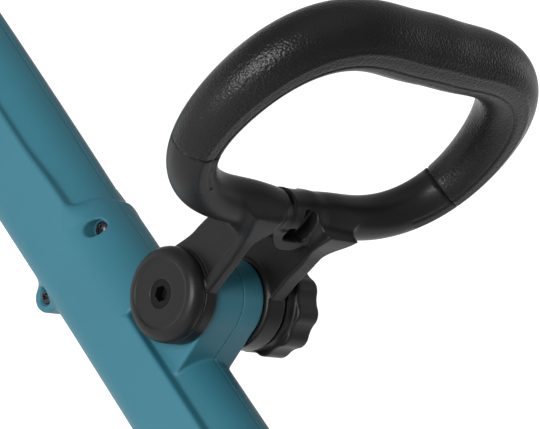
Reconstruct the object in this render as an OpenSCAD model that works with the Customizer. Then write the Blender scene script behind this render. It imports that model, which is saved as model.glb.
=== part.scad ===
// Cordless string trimmer with a telescopic pole and a tilting loop handle.
// Lengths in millimetres. +X points along the pole to the cutting head, +Z up, the ground is z = 0.

/* [Layout] */
// Height of the loop handle pivot above the ground
pivot_height = 135; // [132:1:140]
// Distance from the loop handle pivot to the spool axis
spool_distance = 835; // [820:1:860]
// Radius of the rear debris guard
guard_radius = 150; // [146:1:155]

/* [Housing] */
// Wall thickness of the moulded housings
wall = 2.6; // [2:0.1:3.2]
// Half width of the middle housing
body_half_width = 22; // [21:0.5:24]
// Radius of the housing nose round the pole
nose_radius = 19.2; // [18.6:0.1:20]
// Radius of the pivot boss
boss_radius = 18.5; // [18:0.1:19.2]
// Reach of the pivot boss towards the bolt's head
boss_near = 16.8; // [16:0.1:16.8]
// Reach of the pivot boss towards the clamp knob
boss_far = 12.3; // [11:0.1:12.3]

/* [Pole] */
// Outer radius of the fixed tube
tube_radius = 14; // [13.5:0.1:14.5]
// Outer radius of the sliding tube
inner_tube_radius = 12.5; // [12:0.1:12.6]
// Travel of the sliding tube
pole_travel = 180; // [120:10:180]

/* [Loop handle] */
// Radius of the round ears of the loop handle
ear_radius = 20; // [19:0.1:20]
// Outer face of the near ear
ear_face = 30.9; // [29:0.1:32]
// Thickness of the rubber overmould
rubber = 3; // [2:0.1:3.5]
// Radius of the clamp knob body
knob_radius = 19.6; // [18:0.1:20]
// Radius of the cross bolt
bolt_radius = 4; // [3.5:0.1:4.2]

/* [Cutting head] */
// Outer radius of the motor case
motor_case_radius = 38; // [36:0.5:40]
// Radius of the spool case
spool_radius = 41; // [38:0.5:44]
// Reach of the cutting line from the spool axis
line_reach = 136; // [120:1:137]

/* [Output] */
// Name of the sub-part to build, or all

/* [Hidden] */
$fn = 64;
X0 = -(spool_distance + 142 - 478) / 2;
Z0 = pivot_height;
PF = -34.4;              // pole axis below the pivot
SX = spool_distance;
run = 0.05;              // radial running clearance

module P() translate([X0, 0, Z0]) children();
module ycyl(r, a, b, x = 0, z = 0) translate([x, a, z]) rotate([-90, 0, 0]) cylinder(r = r, h = b - a);
module xcyl(r, a, b, y = 0, z = 0) translate([a, y, z]) rotate([0, 90, 0]) cylinder(r = r, h = b - a);
module zcyl(r, a, b, x = 0, y = 0) translate([x, y, a]) cylinder(r = r, h = b - a);
module box(x0, x1, y0, y1, z0, z1) translate([x0, y0, z0]) cube([x1 - x0, y1 - y0, z1 - z0]);
module side(a, b) translate([0, b, 0]) rotate([90, 0, 0]) linear_extrude(b - a) children();
module rr(x0, x1, y0, y1, r) {
  translate([x0 + r, y0]) square([x1 - x0 - 2 * r, y1 - y0]);
  translate([x0, y0 + r]) square([x1 - x0, y1 - y0 - 2 * r]);
  for (x = [x0 + r, x1 - r], y = [y0 + r, y1 - r]) translate([x, y]) circle(r);
}
module xbar(x0, x1, z0, z1, w, r) translate([x0, 0, 0]) rotate([90, 0, 90]) linear_extrude(x1 - x0) rr(-w, w, z0, z1, r);
module zbar(z0, z1, x0, x1, w, r) translate([0, 0, z0]) linear_extrude(z1 - z0) rr(x0, x1, -w, w, r);
module near_half() intersection() { children(); box(-520, 1000, -80, 0, -140, 160); }
module far_half() intersection() { children(); box(-520, 1000, 0, 80, -140, 160); }

// helical spring along Z, built as one swept wire
module coil(R, r, turns, h, seg = 14, m = 6) {
  n = round(turns * seg);
  pts = [for (i = [0:n], j = [0:m - 1])
    let (a = 360 * i / seg, b = 360 * j / m, q = R + r * cos(b)) [q * cos(a), q * sin(a), r + (h - 2 * r) * i / n + r * sin(b)]];
  faces = concat(
    [for (i = [0:n - 1], j = [0:m - 1]) let (k = (j + 1) % m) [i * m + j, i * m + k, (i + 1) * m + k, (i + 1) * m + j]],
    [[for (j = [m - 1:-1:0]) j]], [[for (j = [0:m - 1]) n * m + j]]);
  polyhedron(points = pts, faces = [for (f = faces) [for (q = [len(f) - 1:-1:0]) f[q]]], convexity = 6);
}

// ---------------------------------------------------------------- main housing
module body_solid(e) {
  xbar(-372 + e, -215, -52 + e, -14 - e, 17 - e, 14 - e);                         // rear grip
  xbar(-478 + e, -352 - e, -74.5 + e, -18 - e, 31 - e, 12 - e);                   // battery platform
  xbar(-364 + e, -352 - e, -124 + e, -40, 25 - e, 8 - e);                         // bay wall
  xbar(-358 + e, -232, -116.6 + e, -97 - e, 14 - e, 8 - e);                         // lower bar
  xbar(-262 + e, -226 - e, -117 + e, -20 - e, 18 - e, 12 - e);                    // front pillar
  cheek(-246, -64, -61, -22.5, body_half_width, e);                                 // middle, side shells
  xbar(-247 + e, -62 - e, -54 + e, -10.2 - e, 20 - e, 19.8 - e);                   // middle, rounded front
  xbar(-72 + e, -17 - e, -60.7 + e, -10.5 - e, body_half_width - 0.1 - e, 20 - e);  // block behind the pivot
  cheek(-50, 108, -61.3, -25, body_half_width - 0.2, e);                            // side shells under the pivot
  xcyl(nose_radius - e, -30, 140 - e, 0, PF);                                       // nose round the pole
}
module cheek(x0, x1, z0, z1, w, e) {
  xbar(x0 + e, x1 - e, z0 + e, z1 - e, w - e, 12 - e);
  box(x0 + e, x1 - e, -(w - e), w - e, -47, z1 - e);
}
lug_at = [[-62, -61.5], [-232, -62]];
// [x, z, depth of the head face on the near side]
screw_at = [[-57, -17, -15.5], [-62, -61.5, -13], [-232, -62, -13], [-244, -106, -12], [-345, -107, -12],
            [-458, -32, -24], [-372, -32, -24], [92, -55, -16]];
module lugs() {
  for (p = lug_at) ycyl(6.8, -15.5, 15.5, p[0], p[1]);
}
module neck() {
  ycyl(boss_radius, -boss_near, boss_far);
  side(-boss_near, boss_far) polygon([[-18.5, 0], [18.5, 0], [19.6, -14], [21, -30], [-19, -30], [-19, -6]]);
}
module housing_shell() {
  difference() {
    union() {
      difference() { body_solid(0); body_solid(wall); }
      lugs();
      neck();
      intersection() {
        body_solid(0);
        union() {
          for (p = screw_at) ycyl(5.2, -31, 31, p[0], p[1]);
          for (x = [-16, 56, 130]) xcyl(nose_radius - 1, x, x + 4, 0, PF);
          box(-262, -258, -16, 16, -100, -46);
          box(-327, -312, -17, 17, -46.5, -43.55);                               // shelf under the lock-off spring
        }
      }
    }
    xcyl(tube_radius + run, -12, 145, 0, PF);
    xcyl(2.8, -18, -11, 0, PF);
    ycyl(2.02, -13.7, 13.7, -268, -48);
    ycyl(3.7, 6.4, 12, -268, -48);
    ycyl(bolt_radius + run, -40, 40);
    for (s = [-1, 1]) ycyl(ear_radius + 0.7, s > 0 ? boss_far : -40, s > 0 ? 40 : -boss_near);
    for (p = screw_at) {
      ycyl(1.9, -30, 22, p[0], p[1]);
      ycyl(4.3, -40, p[2], p[0], p[1]);
    }
    box(-305, -257, -6.5, 6.5, -60, -40);                                        // trigger slot
    box(-331.5, -307.5, -5.4, 5.4, -22, -5);                                     // lock-off slot
    box(-480, -364.5, -18.6, 18.6, -76, -66);                                    // battery rail mouth
    box(-480, -364.5, -22.2, 22.2, -72, -66);                                    // battery rail groove
    for (i = [0:4]) for (s = [-1, 1]) box(-214 + i * 9, -210 + i * 9, s > 0 ? 18 : -26, s > 0 ? 26 : -18, -47, -31);  // air slots
  }
}
module housing_left() color([0.20, 0.40, 0.47]) P() near_half() housing_shell();
module housing_right() color([0.20, 0.40, 0.47]) P() far_half() housing_shell();

module screw(p, len = 22) {
  difference() {
    union() {
      ycyl(3.7, p[2] - 2.6, p[2] - 0.05, p[0], p[1]);
      ycyl(1.8, p[2] - 0.1, p[2] + len, p[0], p[1]);
    }
    box(p[0] - 2.2, p[0] + 2.2, p[2] - 3, p[2] - 1.2, p[1] - 0.45, p[1] + 0.45);
    box(p[0] - 0.45, p[0] + 0.45, p[2] - 3, p[2] - 1.2, p[1] - 2.2, p[1] + 2.2);
  }
}
module housing_screws() color([0.12, 0.12, 0.13]) P() for (p = screw_at) screw(p);

module rear_grip_rubber() color([0.13, 0.13, 0.14]) P() difference() {
  intersection() {
    xbar(-350, -264, -53.8, -12.2, 18.8, 15.8);
    box(-350, -264, -20, 20, -44, -10);
  }
  xbar(-360, -260, -52, -14, 17, 14);
  box(-334, -305, -8, 8, -30, 0);
}
module trigger() color([0.12, 0.12, 0.13]) P() difference() {
  side(-6, 6) polygon([[-273, -42], [-263, -42], [-260.5, -50], [-264, -57], [-274, -62], [-288, -66], [-300, -65], [-303.5, -60], [-303.5, -52], [-301, -45]]);
  ycyl(2.05, -10, 10, -268, -48);
}
module trigger_pin() color([0.6, 0.6, 0.62]) P() ycyl(2, -13.5, 13.5, -268, -48);
module trigger_spring() color([0.7, 0.7, 0.72]) P() translate([-268, 7.2, -48]) rotate([-90, 0, 0]) coil(3, 0.45, 4, 4.6);
module lock_off_button() color([0.12, 0.12, 0.13]) P() {
  box(-330.8, -308.2, -4.8, 4.8, -21, -7.5);
  box(-334.5, -304.5, -8, 8, -23, -19.5);
}
module lock_spring() color([0.7, 0.7, 0.72]) P() translate([-319.5, 0, -43.5]) coil(4, 0.55, 6, 20.3);
module switch_body() color([0.10, 0.10, 0.11]) P() union() {
  xbar(-300, -262, -36, -18.5, 9, 2);
  box(-296, -290, -3, 3, -38.5, -35);
}
module battery_terminals() color([0.72, 0.60, 0.28]) P() {
  box(-374, -366, -14, 14, -71.5, -66.6);
  for (y = [-9, 0, 9]) box(-379, -373, y - 3, y + 3, -70, -69.2);
}
module controller_board() color([0.08, 0.30, 0.16]) P() {
  box(-200, -118, -17.5, 17.5, -32, -30.4);
  box(-190, -172, -12, 4, -30.4, -26);
  box(-150, -140, 2, 14, -30.4, -27);
}
module board_capacitors() color([0.10, 0.10, 0.20]) P() for (x = [-166, -134]) zcyl(5.5, -30.4, -15, x, -4);
module rear_wires() color([0.55, 0.10, 0.10]) P() for (y = [-11.6, 11.6]) xcyl(1.8, -364, -200.5, y, -30);
module pole_cable_rear() color([0.10, 0.10, 0.11]) P() xcyl(2.6, -117.5, 92, 0, PF);

// ---------------------------------------------------------------- battery
module battery_case() color([0.13, 0.13, 0.14]) P() difference() {
  union() {
    xbar(-476, -366, -135, -75, 37, 7);
    box(-474, -381, -18, 18, -76, -71.4);
    box(-474, -381, -21.6, 21.6, -71.4, -67);
  }
  xbar(-473, -369, -132, -78, 34, 4);
  box(-477, -468, -12.3, 12.3, -112, -84);
  for (y = [-9, 0, 9]) box(-400, -380, y - 3.6, y + 3.6, -70.8, -68.4);
}
module battery_band() color([0.20, 0.40, 0.47]) P() difference() {
  xbar(-440, -404, -128, -84, 37.9, 3);
  xbar(-450, -390, -140, -70, 37.05, 0.6);
}
module battery_cells() color([0.16, 0.35, 0.62]) P() for (y = [-22.5, 0, 22.5], z = [-120, -98]) xcyl(9.2, -452, -387, y, z);
module battery_frame() color([0.35, 0.35, 0.37]) P() for (x = [-452, -392]) difference() {
  box(x, x + 5, -32.6, 32.6, -130.6, -86);
  for (y = [-22.5, 0, 22.5], z = [-120, -98]) xcyl(9.4, x - 1, x + 6, y, z);
}
module battery_latch() color([0.15, 0.15, 0.16]) P() {
  box(-478, -470, -11.8, 11.8, -106, -84.6);
  box(-470.2, -466.5, -14.5, 14.5, -108, -82);
}

// ---------------------------------------------------------------- pole
module fixed_tube() color([0.62, 0.63, 0.65]) P() difference() {
  xcyl(tube_radius, -10, 350, 0, PF);
  xcyl(inner_tube_radius + run, -11, 351, 0, PF);
}
module inner_tube() color([0.70, 0.71, 0.73]) P() difference() {
  xcyl(inner_tube_radius, 100, 768, 0, PF);
  xcyl(inner_tube_radius - 1.4, 99, 769, 0, PF);
}
module pole_cable_front() color([0.10, 0.10, 0.11]) P() xcyl(2.6, 102, 767, 0, PF);
module clamp_collar() color([0.12, 0.12, 0.13]) P() difference() {
  union() {
    xcyl(19, 326, 372, 0, PF);
    xcyl(17.4, 372, 384, 0, PF);
    box(334, 364, -9, 9, -66, PF);
  }
  xcyl(tube_radius + run, 325, 350.4, 0, PF);
  xcyl(inner_tube_radius + run, 350, 385, 0, PF);
  box(325, 385, -1.2, 1.2, -67, -45);
  ycyl(2.6, -12, 12, 349, -59);
}
module clamp_bolt() color([0.65, 0.66, 0.68]) P() {
  ycyl(2.5, -15.5, 12.9, 349, -59);
  ycyl(5, 9.05, 13, 349, -59);
}
module clamp_lever() color([0.75, 0.18, 0.12]) P() difference() {
  union() {
    xcyl(6, 341, 357, -15.5, -59);
    side(-24.5, -19.7) polygon([[342, -64.5], [356, -64.5], [356, -18], [352, -12], [346, -12], [342, -18]]);
    box(342, 356, -24, -15.5, -64.5, -54);
  }
  ycyl(2.9, -18.5, -9.2, 349, -59);
  box(346.1, 351.9, -18.4, -5, -70, -56.1);
}

// ---------------------------------------------------------------- loop handle
function rho(a) = 62 + 2.9 * cos(a) - 16.8 * cos(2 * a) - 0.55 * cos(3 * a) + 0.63 * cos(5 * a) + 1.4 * cos(6 * a);
function uu(a) = 101.8 - rho(a) * cos(a);
function centre(a) = [0.068 * uu(a) - 1.08, rho(a) * sin(a), 0.998 * uu(a)];
function bar_r(a) = max(9.8, 11.1 - 4.1 * cos(a) - 0.6 * cos(2 * a));
nP = [0.998, 0, -0.068];
function unit(v) = v / norm(v);
function tang(a) = unit(centre(a + 0.5) - centre(a - 0.5));
function outw(a) = unit(cross(tang(a), nP));
function ring(a, e, m) = [for (j = [0:m - 1]) let (b = 360 * j / m, r = (bar_r(a) - e) * (1 - 0.08 * pow(max(0, -cos(b)), 2)))
  centre(a) + r * cos(b) * outw(a) + r * sin(b) * nP];
function quads(n, m, off, flip) = [for (i = [0:n - 2], j = [0:m - 1]) let (k = (j + 1) % m)
  flip ? [off + i * m + j, off + (i + 1) * m + j, off + (i + 1) * m + k, off + i * m + k]
       : [off + i * m + j, off + i * m + k, off + (i + 1) * m + k, off + (i + 1) * m + j]];
ga = 64.5;               // the rubber starts at this angle from the bottom of the loop
stations = concat([for (i = [0:20]) [-ga + 2 * ga * i / 20, 0]], [for (i = [0:36]) [ga + (360 - 2 * ga) * i / 36, rubber + 0.25]]);

module core_ring() {
  m = 20; n = len(stations);
  pts = [for (s = stations) each ring(s[0], s[1], m)];
  faces = concat(quads(n, m, 0, false), [for (j = [0:m - 1]) let (k = (j + 1) % m) [(n - 1) * m + j, (n - 1) * m + k, k, j]]);
  polyhedron(points = pts, faces = faces, convexity = 6);
}
module arm_2d() polygon([[-16, 6], [-13.5, 20], [-11.5, 34], [-8, 46], [-5, 54], [10, 54], [13, 46], [11.3, 38], [11, 30], [12.5, 20], [17, 8]]);
module ear(s) {
  rotate([s < 0 ? 90 : -90, 0, 0]) rotate_extrude()
    polygon(s < 0 ? [[0, 17.5], [ear_radius, 17.5], [ear_radius, 26.4], [15.6, ear_face], [0, ear_face]]
                  : [[0, 13.1], [ear_radius, 13.1], [ear_radius, 23], [18.5, 24.5], [0, 24.5]]);
}
module loop_core() color([0.14, 0.14, 0.15]) P() difference() {
  union() {
    core_ring();
    side(-25, -17.7) arm_2d();
    side(14.5, 24) arm_2d();
    ear(-1);
    ear(1);
  }
  ycyl(bolt_radius + run, -40, 40);
  ycyl(6, -32, -22);
  box(8.5, 20, -8.5, 8.5, 45.5, 57);
  side(-30, -24) polygon([[-9, 24], [-7, 40], [7.5, 42], [8.5, 24], [3, 22]]);
}
module loop_grip() color([0.10, 0.10, 0.11]) P() {
  m = 20; k = 40;
  st = [for (i = [0:k]) ga + 0.4 + (360 - 2 * ga - 0.8) * i / k];
  n = len(st);
  pts = concat([for (a = st) each ring(a, 0, m)], [for (a = st) each ring(a, rubber, m)]);
  faces = concat(quads(n, m, 0, false), quads(n, m, n * m, true),
    [for (j = [0:m - 1]) let (q = (j + 1) % m) [j, n * m + j, n * m + q, q]],
    [for (j = [0:m - 1]) let (q = (j + 1) % m, o = (n - 1) * m) [o + j, o + q, n * m + o + q, n * m + o + j]]);
  polyhedron(points = pts, faces = faces, convexity = 8);
}
module loop_bolt() color([0.68, 0.69, 0.71]) P() difference() {
  union() { ycyl(bolt_radius, -27.5, 41); ycyl(5.7, -30, -22.1); }
  rotate([90, 0, 0]) translate([0, 0, 26]) cylinder(r = 3.5, h = 6, $fn = 6);
}
module friction_washers() color([0.55, 0.56, 0.58]) P() for (s = [-1, 1]) difference() {
  ycyl(13, s > 0 ? 12.4 : -17.4, s > 0 ? 13 : -16.9);
  ycyl(bolt_radius + 0.2, -20, 20);
}
module knob_washer() color([0.70, 0.71, 0.73]) P() difference() {
  ycyl(10, 24.6, 26.4);
  ycyl(bolt_radius + 0.2, 20, 30);
}
module clamp_knob() color([0.11, 0.11, 0.12]) P() difference() {
  union() {
    ycyl(knob_radius, 32, 44);
    ycyl(19, 26.8, 32.1);
    ycyl(16.5, 43.9, 45.6);
    for (i = [0:9]) rotate([0, i * 36 + 2, 0]) ycyl(4.6, 32.5, 44.3, 17.3, 0);
  }
  ycyl(7.05, 26, 41.2);
  ycyl(bolt_radius + 0.4, 40, 50);
  for (i = [0:4]) rotate([0, i * 72, 0]) ycyl(2.2, 42.5, 46, 10.5, 0);
}
module knob_insert() color([0.74, 0.62, 0.32]) P() difference() {
  ycyl(7, 26.7, 41);
  ycyl(bolt_radius + run, 26, 42);
}

// ---------------------------------------------------------------- cutting head
TX = 792;                // tilt pin
module head_yoke() color([0.12, 0.12, 0.13]) P() difference() {
  union() {
    xcyl(17, 712, 764, 0, PF);
    xcyl(15, 700, 713, 0, PF);
    ycyl(12.5, -9, 9, TX, PF);
    side(-9, 9) polygon([[760, PF - 12.5], [TX, PF - 12.5], [TX, PF + 12.5], [760, PF + 12.5]]);
  }
  xcyl(inner_tube_radius + run, 699, 768.2, 0, PF);
  ycyl(4.05, -12, 12, TX, PF);
  xcyl(4, 765, 782, 0, PF - 6);
}
module tilt_pin() color([0.62, 0.63, 0.65]) P() ycyl(4, -18.5, 14.6, TX, PF);
module head_solid(e) {
  zcyl(motor_case_radius - e, -86 + e, -24 - e, SX, 0);
  zcyl(motor_case_radius - 5 - e, -30, -16 - e, SX, 0);
  zcyl(motor_case_radius - 13 - e, -20, -10 - e, SX, 0);
  zcyl(motor_case_radius + 3 - e, -86 + e, -78 - e, SX, 0);
}
hs = [[806.9, -64], [806.9, -25.5], [864, -62], [864, -34]];
module head_case() difference() {
  union() {
    difference() { head_solid(0); head_solid(wall); }
    difference() {
      side(-21, 21) polygon([[TX - 4, PF - 14], [TX + 4, PF - 14], [812, -74], [816, -18], [TX + 6, PF + 14], [TX - 4, PF + 14]]);
      zcyl(motor_case_radius - wall, -90, -5, SX, 0);
    }
    ycyl(14, -21, 21, TX, PF);
    intersection() { head_solid(0); for (p = hs) ycyl(4.6, -40, 40, p[0], p[1]); }
  }
  box(TX - 30, TX + 14.6, -9.3, 9.3, -75, 0);
  ycyl(13.2, -9.3, 9.3, TX, PF);
  ycyl(4.2, -18.7, 18.7, TX, PF);
  ycyl(8.2, 15.5, 30, TX, PF);
  zcyl(5, -90, -80, SX, 0);
  zcyl(26.2, -82, -27, SX, 0);
  for (p = hs) { ycyl(1.9, -30, 20, p[0], p[1]); ycyl(4, -50, -19, p[0], p[1]); }
  for (i = [0:2]) translate([SX, 0, 0]) rotate([0, 0, i * 120 + 60]) zcyl(2, -88, -84.1, 33, 0);
  for (i = [0:5]) box(SX - 13 + i * 5, SX - 10.5 + i * 5, -60, 60, -52, -38);
}
module head_case_left() color([0.20, 0.40, 0.47]) P() near_half() head_case();
module head_case_right() color([0.20, 0.40, 0.47]) P() far_half() head_case();
module head_screws() color([0.12, 0.12, 0.13]) P() for (p = hs) screw([p[0], p[1], -19], 30);
module tilt_button() color([0.75, 0.18, 0.12]) P() difference() {
  union() { ycyl(7.9, 19.4, 26, TX, PF); ycyl(4, 18.4, 19.5, TX, PF); }
  ycyl(5, 25, 27, TX, PF);
}
module motor_can() color([0.55, 0.56, 0.58]) P() difference() {
  union() { zcyl(26, -80.5, -29, SX, 0); zcyl(9, -29.5, -24, SX, 0); }
  zcyl(23.6, -78.5, -31, SX, 0);
  zcyl(6.1, -82, -20, SX, 0);
}
module motor_magnets() color([0.25, 0.25, 0.27]) P() for (s = [0, 180]) translate([SX, 0, -74]) rotate([0, 0, s - 55]) rotate_extrude(angle = 110) translate([19.2, 0]) square([4.3, 36]);
module motor_rotor() color([0.66, 0.38, 0.20]) P() difference() {
  union() {
    zcyl(17.5, -72, -44, SX, 0);
    zcyl(14, -75, -72, SX, 0);
    zcyl(8.5, -42, -34, SX, 0);
    zcyl(5, -44.1, -41.9, SX, 0);
  }
  zcyl(3, -90, -20, SX, 0);
  for (i = [0:7]) translate([SX, 0, 0]) rotate([0, 0, i * 45]) box(14, 20, -1, 1, -76, -43.9);
}
module motor_shaft() color([0.78, 0.79, 0.80]) P() zcyl(2.95, -118, -21, SX, 0);
module bearings() color([0.80, 0.81, 0.82]) P() for (z = [-80.4, -28.9]) difference() {
  zcyl(6.05, z, z + 4.5, SX, 0);
  zcyl(3, z - 1, z + 6, SX, 0);
}
module spool_driver() color([0.74, 0.75, 0.77]) P() difference() {
  union() { zcyl(28, -92.6, -89.6, SX, 0); zcyl(8, -104, -92.5, SX, 0); }
  zcyl(3, -120, -80, SX, 0);
  for (i = [0:5]) translate([SX, 0, 0]) rotate([0, 0, i * 60]) zcyl(3.5, -93, -89, 20, 0);
}
module guard() color([0.12, 0.12, 0.13]) P() difference() {
  union() {
  intersection() {
    difference() {
      union() {
        zcyl(guard_radius, -135, -86.4, SX, 0);
      }
      difference() { zcyl(guard_radius - 3, -136, -89.2, SX, 0); for (a = [-60, -30, 0, 30, 60]) translate([SX, 0, 0]) rotate([0, 0, 180 + a]) box(46, 148, -1.2, 1.2, -95, -88); }
    }
    union() {
      zcyl(46, -90, -86, SX, 0);
      translate([SX, 0, -136]) linear_extrude(60) polygon([[-8, -46], [-8, 46], [-30, 170], [-170, 170], [-170, -170], [-30, -170]]);
    }
  }
  translate([SX, 0, 0]) rotate([0, 0, 107]) box(140.5, 148, -11, 11, -122.3, -112);
  }
  translate([SX, 0, 0]) rotate([0, 0, 107]) for (y = [-5, 5]) cylinderz2(1.8, -125, -110, 143, y);
  zcyl(12, -95, -80, SX, 0);
  for (i = [0:2]) translate([SX, 0, 0]) rotate([0, 0, i * 120 + 60]) zcyl(2, -95, -80, 33, 0);
}
module guard_screws() color([0.70, 0.71, 0.73]) P() for (i = [0:2]) translate([SX, 0, 0]) rotate([0, 0, i * 120 + 60]) translate([33, 0, 0]) difference() {
  union() { cylinderz(3.2, -91.3, -89.25); cylinderz(1.9, -89.4, -84.2); }
  box(-2.4, 2.4, -0.4, 0.4, -92, -90.6);
}
module cylinderz(r, a, b) translate([0, 0, a]) cylinder(r = r, h = b - a);
module line_cutter() color([0.80, 0.81, 0.82]) P() translate([SX, 0, 0]) rotate([0, 0, 107]) difference() {
  box(138.5, 146.6, -9, 9, -111.9, -110.3);
  for (y = [-5, 5]) cylinderz2(1.8, -115, -108, 143, y);
}
module cylinderz2(r, a, b, x, y) translate([x, y, a]) cylinder(r = r, h = b - a);
module cutter_screws() color([0.62, 0.63, 0.65]) P() translate([SX, 0, 0]) rotate([0, 0, 107]) for (y = [-5, 5]) {
  cylinderz2(3, -110.25, -108.4, 143, y);
  cylinderz2(1.75, -121, -110.2, 143, y);
}
module spool_case() color([0.14, 0.14, 0.15]) P() difference() {
  union() {
    zcyl(spool_radius, -116, -93, SX, 0);
    zcyl(spool_radius + 2.5, -112, -107, SX, 0);
  }
  zcyl(spool_radius - 2.4, -117, -95.4, SX, 0);
  zcyl(8.3, -120, -90, SX, 0);
  ycyl(2.6, -50, 50, SX, -109.5);
}
module line_eyelets() color([0.80, 0.81, 0.82]) P() for (s = [-1, 1]) difference() {
  union() { ycyl(2.55, s > 0 ? 38.5 : -45.5, s > 0 ? 45.5 : -38.5, SX, -109.5); ycyl(3.9, s > 0 ? 43.8 : -45.5, s > 0 ? 45.5 : -43.8, SX, -109.5); }
  ycyl(1.3, -60, 60, SX, -109.5);
}
module spool_reel() color([0.85, 0.62, 0.12]) P() difference() {
  union() { zcyl(37, -98, -95.8, SX, 0); zcyl(37, -115.5, -113.5, SX, 0); zcyl(17, -115.5, -95.8, SX, 0); }
  zcyl(13.5, -120, -97.6, SX, 0);
  zcyl(8.4, -120, -90, SX, 0);
}
module wound_line() color([0.88, 0.36, 0.10]) P() difference() {
  zcyl(33, -113.4, -98.1, SX, 0);
  zcyl(17.05, -120, -90, SX, 0);
}
module cutting_line() color([0.88, 0.36, 0.10]) P() for (s = [-1, 1]) ycyl(1.1, s > 0 ? 35 : -line_reach, s > 0 ? line_reach : -35, SX, -109.5);
module spool_cover() color([0.12, 0.12, 0.13]) P() difference() {
  union() { zcyl(spool_radius + 2.5, -121, -116.05, SX, 0); zcyl(spool_radius - 6, -124, -120.9, SX, 0); }
  zcyl(spool_radius - 9, -122, -115.9, SX, 0);
  zcyl(20.3, -130, -110, SX, 0);
  for (i = [0:5]) translate([SX, 0, 0]) rotate([0, 0, i * 60]) translate([spool_radius + 3, 0, -122]) cylinder(r = 4, h = 8);
}
module bump_button() color([0.20, 0.20, 0.21]) P() difference() {
  union() { zcyl(20, -129, -120.8, SX, 0); zcyl(13, -131.5, -128.9, SX, 0); zcyl(22.5, -120.9, -119, SX, 0); zcyl(5, -119.2, -116.8, SX, 0); }
  zcyl(3.2, -121.5, -112, SX, 0);
}
module bump_spring() color([0.78, 0.79, 0.80]) P() translate([SX, 0, -119]) coil(10.5, 0.7, 4, 21.3);
module wire_guard() color([0.68, 0.69, 0.71]) P() {
  translate([SX, 0, -70]) rotate([0, 0, -90]) rotate_extrude(angle = 180) translate([140, 0]) circle(r = 2, $fn = 24);
  for (s = [-1, 1]) ycyl(2, s > 0 ? 44.3 : -140, s > 0 ? 140 : -44.3, SX, -70);
}
module wire_guard_clips() color([0.12, 0.12, 0.13]) P() for (s = [-1, 1]) difference() {
  union() {
    ycyl(5, s > 0 ? 41 : -49, s > 0 ? 49 : -41, SX, -70);
    box(SX - 5, SX + 5, s > 0 ? 41.1 : -47, s > 0 ? 47 : -41.1, -86.3, -70);
    }
  ycyl(2.06, -60, 60, SX, -70);
}

// ---------------------------------------------------------------- strap eye
module strap_eye() color([0.12, 0.12, 0.13]) P() difference() {
  union() {
    xcyl(nose_radius + 3.4, 114, 128, 0, PF);
    side(-4, 4) polygon([[114, -17], [128, -17], [128, 2], [125, 6], [117, 6], [114, 2]]);
  }
  xcyl(nose_radius + 0.05, 113, 129, 0, PF);
  ycyl(4.5, -6, 6, 121, -2);
  box(113, 129, -1, 1, -60, -50);
}

housing_left();
housing_right();
housing_screws();
rear_grip_rubber();
trigger();
trigger_pin();
trigger_spring();
lock_off_button();
lock_spring();
switch_body();
battery_terminals();
controller_board();
board_capacitors();
rear_wires();
pole_cable_rear();
battery_case();
battery_band();
battery_cells();
battery_frame();
battery_latch();
fixed_tube();
inner_tube();
pole_cable_front();
clamp_collar();
clamp_bolt();
clamp_lever();
loop_core();
loop_grip();
loop_bolt();
friction_washers();
knob_washer();
clamp_knob();
knob_insert();
head_yoke();
tilt_pin();
head_case_left();
head_case_right();
head_screws();
tilt_button();
motor_can();
motor_magnets();
motor_rotor();
motor_shaft();
bearings();
spool_driver();
guard();
guard_screws();
line_cutter();
cutter_screws();
spool_case();
line_eyelets();
spool_reel();
wound_line();
cutting_line();
spool_cover();
bump_button();
bump_spring();
wire_guard();
wire_guard_clips();
strap_eye();
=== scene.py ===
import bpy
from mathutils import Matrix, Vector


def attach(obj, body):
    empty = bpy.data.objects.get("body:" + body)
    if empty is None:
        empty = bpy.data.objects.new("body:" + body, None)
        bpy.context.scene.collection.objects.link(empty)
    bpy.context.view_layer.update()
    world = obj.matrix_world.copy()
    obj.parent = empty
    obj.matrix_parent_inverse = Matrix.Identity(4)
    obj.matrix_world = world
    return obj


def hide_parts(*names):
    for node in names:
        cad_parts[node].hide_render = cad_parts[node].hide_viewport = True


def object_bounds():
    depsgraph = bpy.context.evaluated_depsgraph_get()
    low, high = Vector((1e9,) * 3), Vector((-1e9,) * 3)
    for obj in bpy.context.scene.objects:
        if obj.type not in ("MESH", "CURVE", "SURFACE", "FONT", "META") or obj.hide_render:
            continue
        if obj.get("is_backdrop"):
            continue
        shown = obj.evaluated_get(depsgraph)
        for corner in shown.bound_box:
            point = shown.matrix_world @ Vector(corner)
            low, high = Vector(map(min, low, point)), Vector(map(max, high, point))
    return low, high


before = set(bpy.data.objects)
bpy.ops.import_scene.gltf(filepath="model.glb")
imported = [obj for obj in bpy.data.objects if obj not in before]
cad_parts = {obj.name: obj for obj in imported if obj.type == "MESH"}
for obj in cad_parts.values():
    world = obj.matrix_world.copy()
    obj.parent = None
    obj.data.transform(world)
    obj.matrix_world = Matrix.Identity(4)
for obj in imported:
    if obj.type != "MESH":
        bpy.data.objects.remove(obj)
CAD_BOX = [[float(c) for c in p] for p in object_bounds()]

import math
import bpy
import numpy as np
from mathutils import Matrix, Vector

# ------------------------------------------------------------------ frame
# The shapes below are written in millimetres in the pole's own axes: h along the pole, t across, f away from the ground,
# with the loop handle's pivot at the origin. The row frame is that, moved by X0 and Z0, in metres.
X0, Z0, PF, SX, TX = -249.5, 135.0, -34.4, 835.0, 792.0


def row(v):
    return (np.asarray(v, float) + np.array([X0, 0.0, Z0])) / 1000.0


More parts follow.
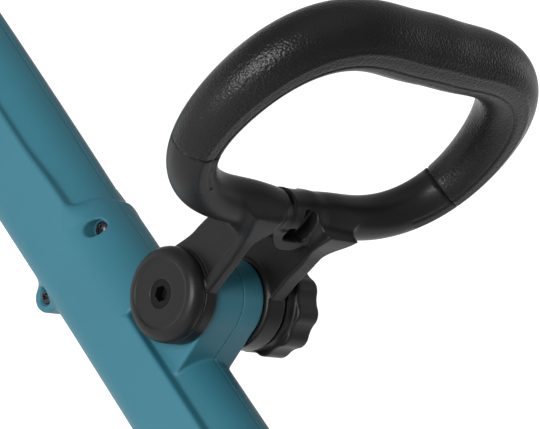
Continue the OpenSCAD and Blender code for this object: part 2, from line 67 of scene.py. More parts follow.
# ------------------------------------------------------------------ camera, light, floor
cam_pos = row([518.8, -714.2, 434.3])
R = np.array([[0.492, 0.665, 0.562], [0.683, 0.106, -0.723], [-0.540, 0.739, -0.402]])
u, s_, vt = np.linalg.svd(R)
R = u @ vt
cam_data = bpy.data.cameras.new("camera")
cam_data.sensor_fit = "HORIZONTAL"
cam_data.sensor_width = 36.0
cam_data.lens = 2366.9 * 36.0 / 540.0
cam_data.clip_start, cam_data.clip_end = 0.02, 60.0
camera = bpy.data.objects.new("camera", cam_data)
bpy.context.scene.collection.objects.link(camera)
m = np.eye(4)
m[:3, 0], m[:3, 1], m[:3, 2], m[:3, 3] = R[0], -R[1], -R[2], cam_pos
camera.matrix_world = Matrix(m.tolist())
bpy.context.scene.camera = camera

world = bpy.data.worlds.new("studio")
bpy.context.scene.world = world
world.use_nodes = True
world.node_tree.nodes["Background"].inputs[0].default_value = (1.0, 1.0, 1.0, 1)
world.node_tree.nodes["Background"].inputs[1].default_value = 0.45
bpy.context.scene.view_settings.view_transform = "Standard"
bpy.context.scene.view_settings.look = "None"
bpy.context.scene.view_settings.exposure = 0.0


def area(name, pos, target, size, power, size_y=None, color=(1, 1, 1)):
    d = bpy.data.lights.new(name, "AREA")
    d.shape = "RECTANGLE"
    d.size, d.size_y = size, size_y or size
    d.energy = power
    d.color = color
    o = bpy.data.objects.new(name, d)
    bpy.context.scene.collection.objects.link(o)
    o.location = pos
    o.rotation_euler = (Vector(target) - Vector(pos)).to_track_quat("-Z", "Y").to_euler()
    return o


P0 = Vector(row([0, 0, 0]))
cr, cu, cv = Vector(R[0]), Vector(-R[1]), Vector(R[2])      # camera right, up, into the picture
area("key", P0 - cr * 0.62 - cv * 1.55 + cu * 0.30, P0, 0.6, 36)
area("side", P0 - cr * 1.9 - cv * 0.5 + cu * 0.2, P0, 1.2, 11)
area("top", P0 + Vector((-0.1, -0.5, 2.2)), P0 + Vector((0.2, 0.3, 0)), 2.2, 8)
area("rim", P0 + cr * 1.5 + cv * 0.9 + cu * 0.2, P0, 0.8, 2.5)

bpy.ops.mesh.primitive_plane_add(size=60.0, location=(0, 0, -0.0005))
floor = bpy.context.object
floor.name = "floor"
floor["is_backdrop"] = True


# ------------------------------------------------------------------ materials
def material(name, color, rough=0.5, metal=0.0, spec=0.5, grain=0.0, grain_size=0.0006, mottled=0.06, wear=0.0, ior=1.45,
             coat=0.0, streak=None, sheen=0.0, detail=2.0, rough_var=0.08):
    mt = bpy.data.materials.new(name)
    mt.use_nodes = True
    nt = mt.node_tree
    n, l = nt.nodes, nt.links
    b = n["Principled BSDF"]
    b.inputs["Metallic"].default_value = metal
    b.inputs["Specular IOR Level"].default_value = spec
    b.inputs["IOR"].default_value = ior
    b.inputs["Coat Weight"].default_value = coat
    b.inputs["Coat Roughness"].default_value = 0.25
    b.inputs["Sheen Weight"].default_value = sheen
    tc = n.new("ShaderNodeTexCoord")
    vec = tc.outputs["Object"]
    if streak is not None:
        mp = n.new("ShaderNodeMapping")
        mp.inputs["Scale"].default_value = streak
        l.new(vec, mp.inputs[0])
        vec = mp.outputs[0]
    big = n.new("ShaderNodeTexNoise")
    big.inputs["Scale"].default_value = 28.0
    big.inputs["Detail"].default_value = 4.0
    l.new(vec, big.inputs["Vector"])
    ramp = n.new("ShaderNodeValToRGB")
    c = np.array(color[:3])
    lo, hi = c * (1 - mottled), np.minimum(c * (1 + mottled), 1.0)
    ramp.color_ramp.elements[0].position, ramp.color_ramp.elements[1].position = 0.3, 0.7
    ramp.color_ramp.elements[0].color = (*lo, 1)
    ramp.color_ramp.elements[1].color = (*hi, 1)
    l.new(big.outputs["Fac"], ramp.inputs[0])
    out = ramp.outputs[0]
    if wear > 0:
        geo = n.new("ShaderNodeNewGeometry")
        wr = n.new("ShaderNodeMapRange")
        wr.inputs["From Min"].default_value, wr.inputs["From Max"].default_value = 0.53, 0.62
        wr.inputs["To Min"].default_value, wr.inputs["To Max"].default_value = 0.0, wear
        l.new(geo.outputs["Pointiness"], wr.inputs["Value"])
        mix = n.new("ShaderNodeMix")
        mix.data_type = "RGBA"
        l.new(wr.outputs[0], mix.inputs[0])
        l.new(out, mix.inputs[6])
        mix.inputs[7].default_value = (*np.minimum(c * 2.2 + 0.03, 1), 1)
        out = mix.outputs[2]
    l.new(out, b.inputs["Base Color"])
    rr = n.new("ShaderNodeMapRange")
    rr.inputs["To Min"].default_value, rr.inputs["To Max"].default_value = max(0.03, rough - rough_var), min(1.0, rough + rough_var)
    l.new(big.outputs["Fac"], rr.inputs["Value"])
    l.new(rr.outputs[0], b.inputs["Roughness"])
    if grain > 0:
        fine = n.new("ShaderNodeTexNoise")
        fine.inputs["Scale"].default_value = 1.0 / grain_size
        fine.inputs["Detail"].default_value = detail
        l.new(vec, fine.inputs["Vector"])
        bump = n.new("ShaderNodeBump")
        bump.inputs["Strength"].default_value = grain
        bump.inputs["Distance"].default_value = grain_size * 0.35
        l.new(fine.outputs["Fac"], bump.inputs["Height"])
        l.new(bump.outputs[0], b.inputs["Normal"])
    return mt


def voronoi_grain(mt, size, strength, distance):
    """Adds a pebbled leather grain under the material's own bump."""
    nt = mt.node_tree
    n, l = nt.nodes, nt.links
    b = n["Principled BSDF"]
    tc = n.new("ShaderNodeTexCoord")
    vo = n.new("ShaderNodeTexVoronoi")
    vo.feature = "SMOOTH_F1"
    vo.inputs["Scale"].default_value = 1.0 / size
    vo.inputs["Randomness"].default_value = 1.0
    l.new(tc.outputs["Object"], vo.inputs["Vector"])
    bump = n.new("ShaderNodeBump")
    bump.invert = True
    bump.inputs["Strength"].default_value = strength
    bump.inputs["Distance"].default_value = distance
    l.new(vo.outputs["Distance"], bump.inputs["Height"])
    old = b.inputs["Normal"].links[0].from_socket if b.inputs["Normal"].links else None
    if old:
        l.new(old, bump.inputs["Normal"])
    l.new(bump.outputs[0], b.inputs["Normal"])


TEAL = (0.021, 0.100, 0.134)
BLACK = (0.0062, 0.0060, 0.0064)
M = {
    "teal": material("teal_plastic", TEAL, rough=0.46, spec=0.22, grain=0.35, grain_size=0.0005, mottled=0.035, rough_var=0.04),
    "black": material("black_plastic", BLACK, rough=0.42, spec=0.15, grain=0.35, grain_size=0.0006, mottled=0.08),
    "ear": material("black_plastic_ear", BLACK, rough=0.38, spec=0.18, grain=0.35, grain_size=0.0006, mottled=0.08),
    "rubber": material("grip_rubber", (0.0048, 0.0046, 0.0049), rough=0.31, spec=0.19, grain=0.55, grain_size=0.0008, mottled=0.14),
    "knob": material("knob_plastic", (0.0062, 0.0062, 0.0066), rough=0.42, spec=0.22, grain=0.3, grain_size=0.0006),
    "screw": material("black_screw", (0.035, 0.035, 0.038), rough=0.34, metal=0.9, grain=0.15, grain_size=0.0004),
    "steel": material("bright_steel", (0.56, 0.57, 0.58), rough=0.28, metal=1.0, grain=0.1, grain_size=0.0004, streak=(1, 1, 9), mottled=0.08),
    "tube": material("tube_aluminium", (0.60, 0.61, 0.63), rough=0.34, metal=1.0, grain=0.12, grain_size=0.0005, streak=(0.05, 1, 1), mottled=0.05),
    "spring": material("spring_steel", (0.46, 0.47, 0.49), rough=0.3, metal=1.0, mottled=0.1),
    "brass": material("brass", (0.66, 0.47, 0.17), rough=0.3, metal=1.0, mottled=0.1),
    "board": material("circuit_board", (0.02, 0.13, 0.05), rough=0.3, mottled=0.15, grain=0.2, grain_size=0.001),
    "cap": material("capacitor_sleeve", (0.03, 0.03, 0.09), rough=0.3, mottled=0.1),
    "cable": material("cable_jacket", (0.028, 0.028, 0.028), rough=0.55, grain=0.3, grain_size=0.0008),
    "redwire": material("red_wire", (0.36, 0.03, 0.03), rough=0.5, grain=0.2, grain_size=0.0008),
    "cells": material("cell_wrap", (0.06, 0.18, 0.38), rough=0.32, mottled=0.08),
    "grey": material("grey_plastic", (0.14, 0.14, 0.15), rough=0.5, grain=0.3, grain_size=0.0006),
    "red": material("lever_red", (0.46, 0.05, 0.03), rough=0.4, grain=0.25, grain_size=0.0006, coat=0.15, mottled=0.05),
    "copper": material("copper_winding", (0.45, 0.20, 0.09), rough=0.35, metal=0.9, mottled=0.15, streak=(1, 1, 20), grain=0.3, grain_size=0.0005),
    "magnet": material("magnet", (0.06, 0.06, 0.065), rough=0.6, grain=0.4, grain_size=0.0008),
    "line": material("line_orange", (0.74, 0.17, 0.03), rough=0.35, coat=0.1, mottled=0.05, grain=0.1, grain_size=0.0005),
    "reel": material("reel_yellow", (0.64, 0.38, 0.03), rough=0.45, mottled=0.05, grain=0.25, grain_size=0.0006),
    "bolt": material("bolt_black_oxide", (0.0022, 0.0022, 0.0024), rough=0.55, spec=0.12, mottled=0.1, grain=0.05, grain_size=0.0006),
    "floor": material("floor_paper", (0.93, 0.93, 0.93), rough=0.85, spec=0.2, mottled=0.004, grain=0.05, grain_size=0.004),
}
voronoi_grain(M["rubber"], 0.00095, 0.75, 0.00026)
paper = next(n for n in M["floor"].node_tree.nodes if n.type == "BSDF_PRINCIPLED")
paper.inputs["Emission Color"].default_value = (1.0, 1.0, 1.0, 1.0)
paper.inputs["Emission Strength"].default_value = 0.48
floor.data.materials.append(M["floor"])


# ------------------------------------------------------------------ distance-field modelling
def smin(a, b, k):
    h = np.maximum(k - np.abs(a - b), 0.0) / k
    return np.minimum(a, b) - h * h * k * 0.25


def smax(a, b, k):
    h = np.maximum(k - np.abs(a - b), 0.0) / k
    return np.maximum(a, b) + h * h * k * 0.25


def rmax(a, b, r):
    """Corner of two faces with a true radius r."""
    return np.minimum(np.maximum(a, b), -r) + np.sqrt(np.maximum(a + r, 0) ** 2 + np.maximum(b + r, 0) ** 2)


def bar2(y, z, w, z0, z1, r0, r1=None):
    """Rounded rectangle in y and z, half width w, corner radius r0 low and r1 high."""
    r1 = r0 if r1 is None else r1
    a = np.abs(y) - w
    return np.maximum(rmax(a, z0 - z, r0), rmax(a, z - z1, r1))


def xbar(p, x0, x1, z0, z1, w, r, re=2.5, r1=None):
    d = bar2(p[1], p[2], w, z0, z1, r, r1)
    return rmax(rmax(d, x0 - p[0], re), p[0] - x1, re)


def rbox(p, x0, x1, y0, y1, z0, z1, r=0.6):
    dx = np.maximum(x0 - p[0], p[0] - x1)
    dy = np.maximum(y0 - p[1], p[1] - y1)
    dz = np.maximum(z0 - p[2], p[2] - z1)
    return rmax(rmax(dx, dy, r), dz, r)


def ycyl(p, x, z, r):
    return np.hypot(p[0] - x, p[2] - z) - r


def zcyl(p, x, y, r):
    return np.hypot(p[0] - x, p[1] - y) - r


def nets(fn, xs, ys, zs, steps=3):
    """Surface nets of fn's zero surface on a grid, then each vertex is moved onto the surface."""
    xs, ys, zs = (np.asarray(v, np.float32) for v in (xs, ys, zs))
    G = np.empty((len(xs), len(ys), len(zs)), np.float32)
    step = max(1, int(2_000_000 / (len(ys) * len(zs))))
    for i in range(0, len(xs), step):
        X, Y, Z = np.meshgrid(xs[i:i + step], ys, zs, indexing="ij", copy=False)
        G[i:i + step] = fn((X, Y, Z))
    S = G < 0
    nx, ny, nz = (n - 1 for n in G.shape)
    corners = [(i, j, k) for i in (0, 1) for j in (0, 1) for k in (0, 1)]
    cnt = np.zeros((nx, ny, nz), np.int8)
    for i, j, k in corners:
        cnt += S[i:nx + i, j:ny + j, k:nz + k]
    act = (cnt > 0) & (cnt < 8)
    idx = -np.ones(act.shape, np.int64)
    ci = np.argwhere(act)
    idx[act] = np.arange(len(ci))
    gi = [G[ci[:, 0] + a, ci[:, 1] + b, ci[:, 2] + c] for a, b, c in corners]
    acc = np.zeros((len(ci), 3))
    num = np.zeros(len(ci))
    for e in range(8):
        for g in range(e + 1, 8):
            if sum(abs(corners[e][q] - corners[g][q]) for q in range(3)) != 1:
                continue
            a, b = gi[e], gi[g]
            cross = (a < 0) != (b < 0)
            t = np.where(cross, a / np.where(cross, a - b, 1), 0)
            pos = np.array(corners[e])[None, :] + t[:, None] * (np.array(corners[g]) - np.array(corners[e]))[None, :]
            acc += np.where(cross[:, None], pos, 0)
            num += cross
    loc = acc / num[:, None]
    axes = [xs, ys, zs]
    V = np.empty_like(loc)
    for q in range(3):
        a = axes[q].astype(float)
        V[:, q] = a[ci[:, q]] + loc[:, q] * (a[ci[:, q] + 1] - a[ci[:, q]])
    faces = []
    for q in range(3):
        o1, o2 = (q + 1) % 3, (q + 2) % 3
        sl0 = [slice(None)] * 3
        sl1 = [slice(None)] * 3
        sl0[q], sl1[q] = slice(0, -1), slice(1, None)
        for o in (o1, o2):
            sl0[o], sl1[o] = slice(1, -1), slice(1, -1)
        A, B = S[tuple(sl0)], S[tuple(sl1)]
        e = np.argwhere(A != B)
        if not len(e):
            continue
        inside = A[tuple(e.T)]
        base = e.copy()
        base[:, o1] += 1
        base[:, o2] += 1

        def cell(d1, d2):
            c = base.copy()
            c[:, o1] -= d1
            c[:, o2] -= d2
            return idx[c[:, 0], c[:, 1], c[:, 2]]

        quad = np.stack([cell(1, 1), cell(0, 1), cell(0, 0), cell(1, 0)], 1)
        quad[~inside] = quad[~inside][:, ::-1]
        faces.append(quad)
    F = np.concatenate(faces)
    ok = (F >= 0).all(1)
    F = F[ok]
    lim = 0.5 * min(np.diff(xs).min(), np.diff(ys).min(), np.diff(zs).min())
    h = 0.05
    P0_ = V.copy()
    for _ in range(steps):
        d = fn((V[:, 0], V[:, 1], V[:, 2]))
        g = np.stack([(fn(tuple(V[:, c] + (h if c == q else 0) for c in range(3))) - fn(tuple(V[:, c] - (h if c == q else 0) for c in range(3)))) / (2 * h) for q in range(3)], 1)
        g2 = np.maximum((g * g).sum(1), 0.2)
        V = V - (d / g2)[:, None] * g
        D = V - P0_
        n = np.linalg.norm(D, axis=1)
        V = P0_ + D * np.minimum(1, lim / np.maximum(n, 1e-9))[:, None]
    return V, F


def piece(name, V, F, mat, body, replaces=(), smooth=True):
    me = bpy.data.meshes.new(name)
    V = row(V).astype(np.float32)
    F = np.asarray(F)
    me.vertices.add(len(V))
    me.vertices.foreach_set("co", V.ravel())
    k = F.shape[1]
    me.loops.add(F.size)
    me.loops.foreach_set("vertex_index", F.ravel().astype(np.int32))
    me.polygons.add(len(F))
    me.polygons.foreach_set("loop_start", np.arange(0, F.size, k, dtype=np.int32))
    me.polygons.foreach_set("use_smooth", np.full(len(F), smooth))
    me.update(calc_edges=True)
    me.validate()
    ob = bpy.data.objects.new(name, me)
    bpy.context.scene.collection.objects.link(ob)
    me.materials.append(M[mat])
    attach(ob, body)
    if replaces:
        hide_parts(*replaces)
    return ob


def grid(*spans):
    """Grid lines: (start, end, step) spans joined end to end."""
    out = []
    for a, b, s in spans:
        n = max(1, int(round((b - a) / s)))
        out.append(a + (b - a) * np.arange(n) / n)
    out.append([spans[-1][1]])
    return np.concatenate(out)


Q = 1.0


# ------------------------------------------------------------------ housing halves
# screws: place along and across the row, depth of the head's face, and head radius
SCREWS = ((-60.0, -18.3, -11.8, 3.6), (-60.3, -59.6, -13.8, 3.6), (-232, -62, -13, 3.9), (-244, -106, -12, 3.9),
          (-345, -107, -12, 3.9), (-458, -32, -24, 3.9), (-372, -32, -24, 3.9), (92, -55, -16, 3.9))


def ramp(x, a, b):
    t = np.clip((x - a) / (b - a), 0, 1)
    return t * t * (3 - 2 * t)


def housing(p):
    h, t, f = p
    a = np.abs(t)
    # rear unit
    d = xbar(p, -373, -212, -52, -14, 17, 15, 4)
    plat = xbar(p, -478, -352, -74.5, -18, 31, 12, 7)
    plat = rmax(plat, (f + 18) + 0.10 * np.maximum(-(h + 400), 0) * 0 + 0.0, 3)
    d = smin(d, plat, 9)
    d = smin(d, xbar(p, -364, -352, -124, -40, 25, 8, 3), 6)
    d = smin(d, xbar(p, -360, -232, -116.6, -97, 14, 8.5, 4), 8)
    d = smin(d, xbar(p, -262, -226, -117, -24, 18, 11, 9), 10)
    # middle: rounded front, flat-sided shells with a ledge, and a block with a round top behind the pivot
    zr = -58.9 - 0.7 * np.clip((-40 - h) / 65, 0, 1)
    fc = -34.0 - 1.5 * np.clip((h + 200) / 121, 0, 1) ** 1.7
    front = (np.hypot(a / 20.6, (f - fc) / 23.8) - 1) * 21.2
    front = rmax(rmax(front, -247 - h, 8), h + 60, 3)
    hs = h - 5.0 * ramp(a, 8, 20)
    z1 = -22.6 + 1.6 * ramp(h, -120, -84) + 10.0 * ramp(hs, -83, -71)
    rt = 1.2 + 19.3 * ramp(hs, -84, -70)
    up = np.maximum(rmax(a - 22, f - z1, rt), rmax(a - 22, zr - f, 12))
    up = rmax(rmax(up, -247 - h, 8), h + 14.5, 1.0)
    d = smin(d, smin(front, up, 0.8), 8)
    # side shells below the pivot and the nose round the pole
    low = np.maximum(rmax(a - 22, f + 25.2, 1.3 + 10.0 * (1 - ramp(h, -18, -13.5))), rmax(a - 22, zr - f, 12))
    low = rmax(rmax(low, -30 - h, 1), h - 108, 7)
    d = np.minimum(d, low)
    nose = np.hypot(t, f + 34.4) - 19.2
    nose = rmax(rmax(nose, 8 - h, 1), h - 140, 3)
    nose = np.where(h < 20, nose + 0.12 * (20 - h), nose)
    d = smin(d, nose, 0.5)
    # notch round the ears, then the boss and its neck
    out = np.maximum(-16.9 - t, t - 12.4)
    d = smax(d, np.minimum(20.7 - np.hypot(h, f), out), 0.8)
    boss = np.hypot(h, f) - 18.5
    pl1 = (h - 18.5) * 0.994 + f * 0.108
    pl2 = -(h + 18.6)
    neck = np.maximum(np.maximum(pl1, pl2), np.maximum(f, -40 - f))
    bb = rmax(np.minimum(boss, neck), np.maximum(-16.8 - t, t - 12.3), 0.9)
    d = smin(d, bb, 1.2)
    # lugs
    for x, z, rl in ((-60.2, -59.8, 6.9), (-232, -60.0, 6.9)):
        d = smin(d, rmax(np.hypot(h - x, f - z) - rl, a - 15.0, 1.0), 4)
    # screw recesses on the near side
    for x, z, y, rs in SCREWS:
        d = smax(d, -np.maximum(np.hypot(h - x, f - z) - rs - 0.45, t - y - 0.1), 0.6)
    # openings
    d = smax(d, -rbox(p, -307, -255.5, -6.8, 6.8, -60, -30), 0.4)
    d = smax(d, -rbox(p, -331.5, -307.5, -5.4, 5.4, -22, -5), 0.4)
    d = smax(d, -rbox(p, -482, -364.5, -18.6, 18.6, -78, -66), 0.4)
    d = smax(d, -rbox(p, -482, -364.5, -22.2, 22.2, -72, -66), 0.4)
    for i in range(5):
        x = -214 + i * 9
        d = smax(d, -rmax(rmax(np.maximum(x - h, h - x - 4), np.maximum(-47 - f, f + 31), 1.8), 18 - a, 0.5), 0.6)
    # the pole's bore; the fine groove where the halves meet is cut in half() below
    d = smax(d, -np.maximum(np.hypot(t, f + 34.4) - 14.1, 108 - h), 0.4)
    # inside: room for the tubes and the cable, the pivot bolt's bore, and the lock-off button's flange
    d = np.maximum(d, -np.maximum(np.hypot(t, f + 34.4) - 14.1, np.maximum(-60 - h, h - 112)))
    d = np.maximum(d, -np.maximum(np.hypot(h, f) - 4.6, np.abs(t) - 20))
    d = np.maximum(d, -rbox(p, -336, -303, -9.4, 9.4, -44, -18.6))
    # room for the battery under the platform
    d = np.maximum(d, -rbox(p, -484, -365.0, -38, 38, -137, -74.4))
    return d


def half(sign):
    def fn(p):
        d = housing(p)
        s = -sign * p[1] + 0.06
        # small V along the joint line
        v = (0.32 - np.abs(p[1])) * np.where((p[0] > -84) & (p[0] < -19), 0.35, 1.0)
        return np.maximum(np.maximum(d, s), np.where(v > 0, d + v * 1.2, d))
    return fn


HX = grid((-481, -215, 1.5 * Q), (-215, 70, 0.85 * Q), (70, 143, 1.3 * Q))
HZ = grid((-126, -64, 1.3 * Q), (-64, 20.5, 0.85 * Q))
HY = grid((-1.0, 1.0, 0.5), (1.0, 33, 0.9 * Q))
for name, sign in (("housing_left", -1), ("housing_right", 1)):
    V, F = nets(half(sign), HX, np.sort(HY * sign), HZ)
    piece("shell_" + name, V, F, "teal", "housing", (name,))


# ------------------------------------------------------------------ loop handle
def rho(a):
    return 62.0 + 2.92 * np.cos(a) - 16.77 * np.cos(2 * a) - 0.55 * np.cos(3 * a) + 0.63 * np.cos(5 * a) + 1.39 * np.cos(6 * a)


def drho(a):
    return -2.92 * np.sin(a) + 33.54 * np.sin(2 * a) + 1.65 * np.sin(3 * a) - 3.15 * np.sin(5 * a) - 8.34 * np.sin(6 * a)


def bar_r(a):
    return smax(np.full_like(a, 9.75), 11.14 - 4.06 * np.cos(a) - 0.585 * np.cos(2 * a), 1.5)


GA = math.radians(74.0)


def loop_coords(p):
    """(angle round the loop, distance out from its centreline in its plane, height off its plane)"""
    h, t, f = p
    n = h * 0.998 - f * 0.068 + 1.08
    uu = h * 0.068 + f * 0.998
    du = 101.8 - uu
    q = np.hypot(t, du)
    a = np.arctan2(t, du)
    r, dr = rho(a), drho(a)
    c = r / np.sqrt(r * r + dr * dr)
    return a, (q - r) * c, n


def wrap(b, c, r, w):
    """A soft line along the bar at section angle c on both faces: 1 on it, falling off over w."""
    return np.exp(-(((np.abs(b) - c) * r) / w) ** 2)


def section_r(a, b):
    """The bar's radius at section angle b, 0 outward: a low ridge and a groove on both faces, flatter inside."""
    r = bar_r(a)
    inner = ramp(np.abs(b), math.radians(105), math.radians(150))
    return r + 0.30 * wrap(b, math.radians(77), r, 1.1) - 0.55 * wrap(b, math.radians(104), r, 0.55) - 0.055 * r * inner


def section(o, n, a, cut):
    """Distance to the bar's section."""
    b = np.arctan2(n, o)
    line = np.abs(a) > math.radians(60)
    r = np.where(line, section_r(a, b), bar_r(a) * (1 - 0.055 * ramp(np.abs(b), 1.83, 2.6)))
    return np.hypot(o, n) - r + cut


def loop_core(p):
    h, t, f = p
    a, o, n = loop_coords(p)
    aa = np.abs(a)
    cut = np.where(aa > GA, 1.2, 0.0)
    d = section(o, n, a, cut)
    # arms from the bottom bar to the ears
    top = 56.0
    prof_b = -17.6 + 5.4 * ramp(f, 4, 27) + 1.6 * ramp(f, 26, 40) + 4.0 * ramp(f, 40, 58)      # rear edge
    prof_f = 17.6 - 4.0 * ramp(f, 3, 15) - 0.8 * ramp(f, 30, 42)                                # head-side edge
    # near arm: a plate with a recessed outer panel and a rounded rib along its head-side edge
    y = -t
    flare = 7.0 * ramp(f, 40, 60)
    nf = prof_f + 2.0 * ramp(f, 40, 56)
    arm = rmax(np.maximum(prof_b - h, h - nf), np.maximum(17.3 - y - 3.0 * ramp(f, 36, 52), y - 25.0 - flare), 2.3)
    arm = np.maximum(arm, np.maximum(4 - f, f - top))
    edge = h - (nf - 5.2 + 1.5 * ramp(f, 30, 44))
    panel = rmax(edge, f - 43.0 - 0.10 * (h + 5), 2.5)
    arm = smax(arm, -np.maximum(panel, 22.4 - y), 1.6)
    d = smin(d, arm, 7.0)
    # far arm
    y = t
    ff = prof_f + 2.5 * ramp(f, 24, 44) + 5.0 * ramp(f, 40, 58)
    arm = rmax(np.maximum(prof_b - h, h - ff), np.maximum(14.0 - y - 3.0 * ramp(f, 36, 52), y - 23.0 - flare), 1.2)
    arm = np.maximum(arm, np.maximum(4 - f, f - top))
    web = rmax(h - (ff - 4.6), f - 50.0, 2.5)
    arm = smax(arm, -np.maximum(web, 20.6 - y), 1.2)
    d = smin(d, arm, 5.0)
    # ears
    rr_ = np.hypot(h, f)
    edge = rr_ - 20
    disc = rmax(edge, np.maximum(t + 17.5, -24.4 - t), 0.6)
    cap = rmax(edge + 0.1, np.maximum(t + 24.0, -30.9 - t), 0.4)
    cap = np.maximum(cap, rmax(edge, -30.9 - t, 5.2))
    cap = np.maximum(cap, -30.9 - t + 0.5 * (1 - ramp(rr_, 14.0, 14.9)))
    seam = 0.55 * np.exp(-((t + 24.2) / 0.35) ** 2) * (rr_ > 15)
    near = np.minimum(disc, cap) + seam
    d = smin(d, near, 0.35)
    far = rmax(edge, np.maximum(t - 24.5, 13.1 - t), 1.4)
    far = smax(far, -np.maximum(rr_ - 17.6, 23.6 - t), 0.6)
    d = smin(d, far, 0.8)
    # clearance round the boss, then the bores
    d = np.maximum(d, -np.maximum(rr_ - 21.0, np.maximum(-17.4 - t, t - 13.05)))
    d = smax(d, -(np.maximum(rr_ - 5.7, t + 20)), 0.8)
    d = np.maximum(d, -(rr_ - 4.1))
    # pocket in the bottom bar, with a lip below it
    lip = np.maximum(np.hypot((t - 1.0) / 1.0, (f - 53) / 0.95) - 13.2, np.abs(h - 9.3) - 3.2)
    d = smin(d, np.maximum(lip, f - 50), 2.0)
    slot = rbox(p, 6.0, 40, 0.6, 8.6, 46.2, 60.4, 1.6)
    hook = rbox(p, 6.0, 40, -4.6, 6.0, 45.8, 51.6, 2.2)
    d = smax(d, -np.minimum(slot, hook), 0.9)
    # notch on top of the bar
    ridge = -0.9 * ramp(t, -5.6, -4.4) * np.exp(-((f - 62) / 6.0) ** 2)
    d = d + np.where((np.abs(t) < 16) & (f > 52), ridge * (1 - ramp(t, 8, 16)), 0.0)
    d = smax(d, -rbox(p, -4.5, 7, -7.0, -4.6, 59.4, 66, 0.4), 0.5)
    return d


LX = grid((-22.5, 25.5, 0.62 * Q))
LY = grid((-87, -33, 0.9 * Q), (-33, 33, 0.62 * Q), (33, 87, 0.9 * Q))
LZ = grid((-21.5, 72, 0.62 * Q), (72, 160, 1.2 * Q))
V, F = nets(loop_core, LX, LY, LZ)
core = piece("loop_handle_core", V, F, "ear", "loop_handle", ("loop_core",))


def frame_at(a):
    c = lambda x: np.stack([0.068 * (101.8 - rho(x) * np.cos(x)) - 1.08, rho(x) * np.sin(x), 0.998 * (101.8 - rho(x) * np.cos(x))], -1)
    C = c(a)
    T = c(a + 0.004) - c(a - 0.004)
    T /= np.linalg.norm(T, axis=-1, keepdims=True)
    N = np.array([0.998, 0, -0.068])
    O = np.cross(T, N)
    O /= np.linalg.norm(O, axis=-1, keepdims=True)
    return C, O, np.broadcast_to(N, C.shape)


def loop_grip():
    """The rubber sleeve, swept along the loop, with a rounded lip at each end."""
    n = 280
    base = np.linspace(-math.pi, math.pi, 97)[:-1]
    fine = [sg * math.radians(c) + np.linspace(-0.11, 0.11, 13) for sg in (-1, 1) for c in (77, 104)]
    b = np.unique(np.round(np.concatenate([base] + fine), 4))
    m = len(b)
    a = np.linspace(GA, 2 * math.pi - GA, n)
    C, O, N = frame_at(a)
    s = np.cumsum(np.r_[0, np.linalg.norm(np.diff(C, axis=0), axis=1)])
    a2 = np.interp(np.r_[np.array([0, 0.12, 0.3, 0.55, 0.9, 1.3]), np.linspace(1.9, s[-1] - 1.9, n), s[-1] - np.array([1.3, 0.9, 0.55, 0.3, 0.12, 0])], s, a)
    a, n = a2, len(a2)
    C, O, N = frame_at(a)
    s = np.cumsum(np.r_[0, np.linalg.norm(np.diff(C, axis=0), axis=1)])
    end = np.minimum(s, s[-1] - s)
    lip = np.sqrt(np.clip(1 - (1 - np.clip(end / 1.3, 0, 1)) ** 2, 0, 1))
    A, B = np.meshgrid(a, b, indexing="ij")
    rad = section_r(A, B) - 1.1 * (1 - lip)[:, None]
    V = C[:, None, :] + rad[:, :, None] * (np.cos(B)[:, :, None] * O[:, None, :] + np.sin(B)[:, :, None] * N[:, None, :])
    i0, j0 = np.meshgrid(np.arange(n - 1), np.arange(m), indexing="ij")
    j1 = (j0 + 1) % m
    F = np.stack([i0 * m + j0, i0 * m + j1, (i0 + 1) * m + j1, (i0 + 1) * m + j0], -1).reshape(-1, 4)
    Vs = V.reshape(-1, 3)
    caps = []
    for row_i, flip in ((0, False), (n - 1, True)):
        c = C[row_i]
        inner = c + (V[row_i] - c) * 0.86
        base_i = len(Vs)
        Vs = np.concatenate([Vs, inner])
        k = np.arange(m)
        q = np.stack([row_i * m + k, base_i + k, base_i + (k + 1) % m, row_i * m + (k + 1) % m], 1)
        caps.append(q[:, ::-1] if flip else q)
    return Vs, np.concatenate([F] + caps)[:, ::-1]


V, F = loop_grip()
grip = piece("loop_handle_grip", V, F, "rubber", "loop_handle", ("loop_grip",))


# ------------------------------------------------------------------ clamp knob
def knob(p):
    h, t, f = p
    r = np.hypot(h, f)
    th = np.arctan2(f, h)
    wave = np.cos(10 * (th - math.radians(34)))
    lobe = 21.1 + 0.8 * np.sign(wave) * np.abs(wave) ** 0.8 + 0.0 * r
    body = rmax(r - lobe, np.maximum(31.5 - t, t - 45.4), 1.3)
    body = rmax(r - lobe, t - 45.4 + 0.12 * np.maximum(r - 12, 0), 1.5)
    body = rmax(body, 31.0 - t, 1.2)
    col = rmax(rmax(r - 18.8, 26.9 - t, 1.0), t - 34, 1.0)
    d = smin(body, col, 1.0)
    dish = rmax(np.maximum(r - 12.5, -(t - 43.6)), 43.6 - t, 0.3)
    d = smax(d, -(np.maximum(r - 12.5, 43.8 - t)), 1.0)
    d = smin(d, rmax(r - 6.5, t - 45.2, 0.8), 0.8)
    d = np.maximum(d, 26.85 - t)
    d = np.maximum(d, -np.maximum(r - 7.05, t - 41.0))
    return d


KX = grid((-22.6, 22.6, 0.55 * Q))
V, F = nets(knob, KX, grid((26, 46.4, 0.55 * Q)), KX)
piece("clamp_knob_body", V, F, "knob", "clamp_knob", ("clamp_knob",))


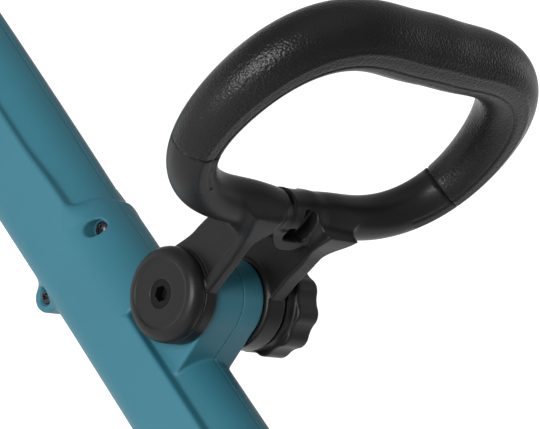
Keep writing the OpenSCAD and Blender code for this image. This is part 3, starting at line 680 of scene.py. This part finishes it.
# ------------------------------------------------------------------ housing screws
def screws():
    """Eight pan-head screws with a cross recess, each on its own fine grid."""
    Vs, Fs, off = [], [], 0
    for x, z, y, rs in SCREWS:
        rs = rs - 0.1

        def one(p):
            q = np.hypot(p[0] - x, p[2] - z)
            head = np.hypot(q, (p[1] - (y + 1.2)) * 1.0 + 0.0)
            head = np.maximum(np.hypot(q / rs, (p[1] - y) / 1.9) - 1, 0) * 1.9 - 0.0
            head = np.maximum((np.hypot(q / rs, (p[1] - y) / 1.9) - 1) * 1.9, p[1] - y - 0.02)
            shank = rmax(q - 1.8, np.maximum(y - 0.5 - p[1], p[1] - y - 6), 0.2)
            u = np.abs((p[0] - x) * 0.94 + (p[2] - z) * 0.34)
            w = np.abs((p[2] - z) * 0.94 - (p[0] - x) * 0.34)
            taper = 0.42 * np.clip((y - 0.5) - p[1], 0, 2)
            cross = np.minimum(np.maximum(u - 0.42 - taper * 0.3, w - 1.5 - taper), np.maximum(w - 0.42 - taper * 0.3, u - 1.5 - taper))
            cross = np.maximum(cross, p[1] - (y - 0.45))
            return np.maximum(np.minimum(head, shank), -cross)

        st = 0.26 * Q
        V, F = nets(one, np.arange(x - rs - 0.6, x + rs + 0.7, st), np.arange(y - 2.4, y + 7.0, st), np.arange(z - rs - 0.6, z + rs + 0.7, st))
        Vs.append(V)
        Fs.append(F + off)
        off += len(V)
    return np.concatenate(Vs), np.concatenate(Fs)


V, F = screws()
piece("cross_head_screws", V, F, "screw", "housing", ("housing_screws",))


# ------------------------------------------------------------------ CAD nodes that stay, with their finish
FINISH = {
    "rear_grip_rubber": "rubber", "trigger": "black", "trigger_pin": "steel",
    "trigger_spring": "spring", "lock_off_button": "black", "lock_spring": "spring", "switch_body": "black",
    "battery_terminals": "brass", "controller_board": "board", "board_capacitors": "cap", "rear_wires": "redwire",
    "pole_cable_rear": "cable", "battery_case": "black", "battery_band": "teal", "battery_cells": "cells",
    "battery_frame": "grey", "battery_latch": "red", "fixed_tube": "tube", "inner_tube": "tube",
    "pole_cable_front": "cable", "clamp_collar": "black", "clamp_bolt": "steel", "clamp_lever": "red",
    "loop_bolt": "bolt", "friction_washers": "grey", "knob_washer": "steel", "knob_insert": "brass",
    "head_yoke": "black", "tilt_pin": "steel", "head_case_left": "teal", "head_case_right": "teal",
    "head_screws": "screw", "tilt_button": "red", "motor_can": "steel", "motor_magnets": "magnet",
    "motor_rotor": "copper", "motor_shaft": "steel", "bearings": "steel", "spool_driver": "grey", "guard": "black",
    "guard_screws": "screw", "line_cutter": "steel", "cutter_screws": "screw", "spool_case": "black",
    "line_eyelets": "brass", "spool_reel": "reel", "wound_line": "line", "cutting_line": "line",
    "spool_cover": "black", "bump_button": "red", "bump_spring": "spring", "wire_guard": "steel",
    "wire_guard_clips": "black", "strap_eye": "black",
}
BEVEL = {"battery_case": 1.2, "trigger": 0.9, "lock_off_button": 0.9, "clamp_collar": 0.8, "clamp_lever": 0.8, "head_yoke": 0.8,
         "guard": 0.7, "spool_case": 0.6, "spool_cover": 0.6, "bump_button": 0.6, "battery_latch": 0.7, "wire_guard_clips": 0.5,
         "strap_eye": 0.9, "rear_grip_rubber": 0.6, "tilt_button": 0.5, "head_case_left": 0.6, "head_case_right": 0.6,
         "battery_band": 0.3, "knob_washer": 0.2}
for name, key in FINISH.items():
    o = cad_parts[name]
    if not o.data.materials:
        o.data.materials.append(M[key])
    for i in range(len(o.material_slots)):
        o.material_slots[i].link = "OBJECT"
        o.material_slots[i].material = M[key]
    if name in BEVEL:
        b = o.modifiers.new("edges", "BEVEL")
        b.width = BEVEL[name] / 1000.0
        b.segments = 2
        b.limit_method = "ANGLE"
        b.angle_limit = math.radians(32)
        b.harden_normals = False
        b.use_clamp_overlap = True

bpy.context.view_layer.update()
VIS_BOX = [[float(c) for c in p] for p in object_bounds()]
